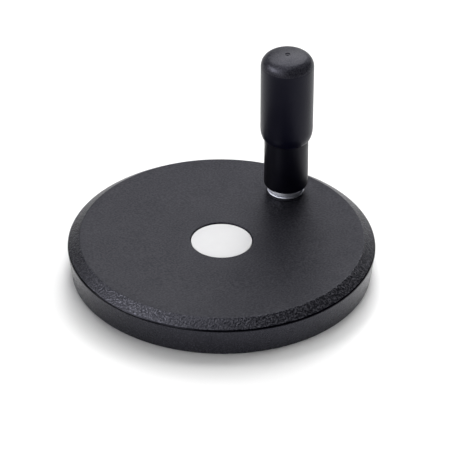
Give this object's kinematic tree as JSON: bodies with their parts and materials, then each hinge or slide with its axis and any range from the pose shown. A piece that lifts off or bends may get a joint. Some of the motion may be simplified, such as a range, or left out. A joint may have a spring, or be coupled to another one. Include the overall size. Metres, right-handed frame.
{
  "type": "disc handwheel with revolving handle",
  "caption": "Solid-disc machine handwheel with a keyed steel hub, a light snap-in hub cap and an upright revolving handle near the rim.",
  "frame": {"origin": "on the shaft's axis, in the rear plane that the hub's rear face and the rim's foot share", "axes": "+Z along the shaft's axis, out of the front face; +X from the shaft's axis to the handle's axis"},
  "size_m": [0.1498, 0.1498, 0.097],
  "materials": {
    "black_plastic": "moulded, fine matt grain, with a coarse leather grain on the chamfer",
    "grip_plastic": "moulded, satin, very fine grain",
    "neck_plastic": "moulded, smooth satin gloss",
    "cap_plastic": "moulded, smooth satin",
    "bush_plastic": "moulded acetal, smooth",
    "plated_steel": "turned and bright zinc plated",
    "black_steel": "black oxide",
    "insert_brass": "turned"
  },
  "bodies": {
    "wheel": {"wheel_disc": "black_plastic", "hub_bushing": "black_steel", "hub_cap": "cap_plastic", "handle_insert": "insert_brass", "collar_washer": "plated_steel", "handle_spindle": "plated_steel", "thrust_washer": "bush_plastic", "top_washer": "plated_steel", "retaining_ring": "black_steel"},
    "grip": {"grip_core": "neck_plastic", "grip_cover": "grip_plastic", "lower_bush": "bush_plastic", "upper_bush": "bush_plastic"}
  },
  "joints": [
    {"name": "grip_spin", "type": "hinge", "parent": "wheel", "child": "grip", "pos_m": [0.053, 0, 0.0355], "axis": [0, 0, 1], "continuous": true}
  ]
}
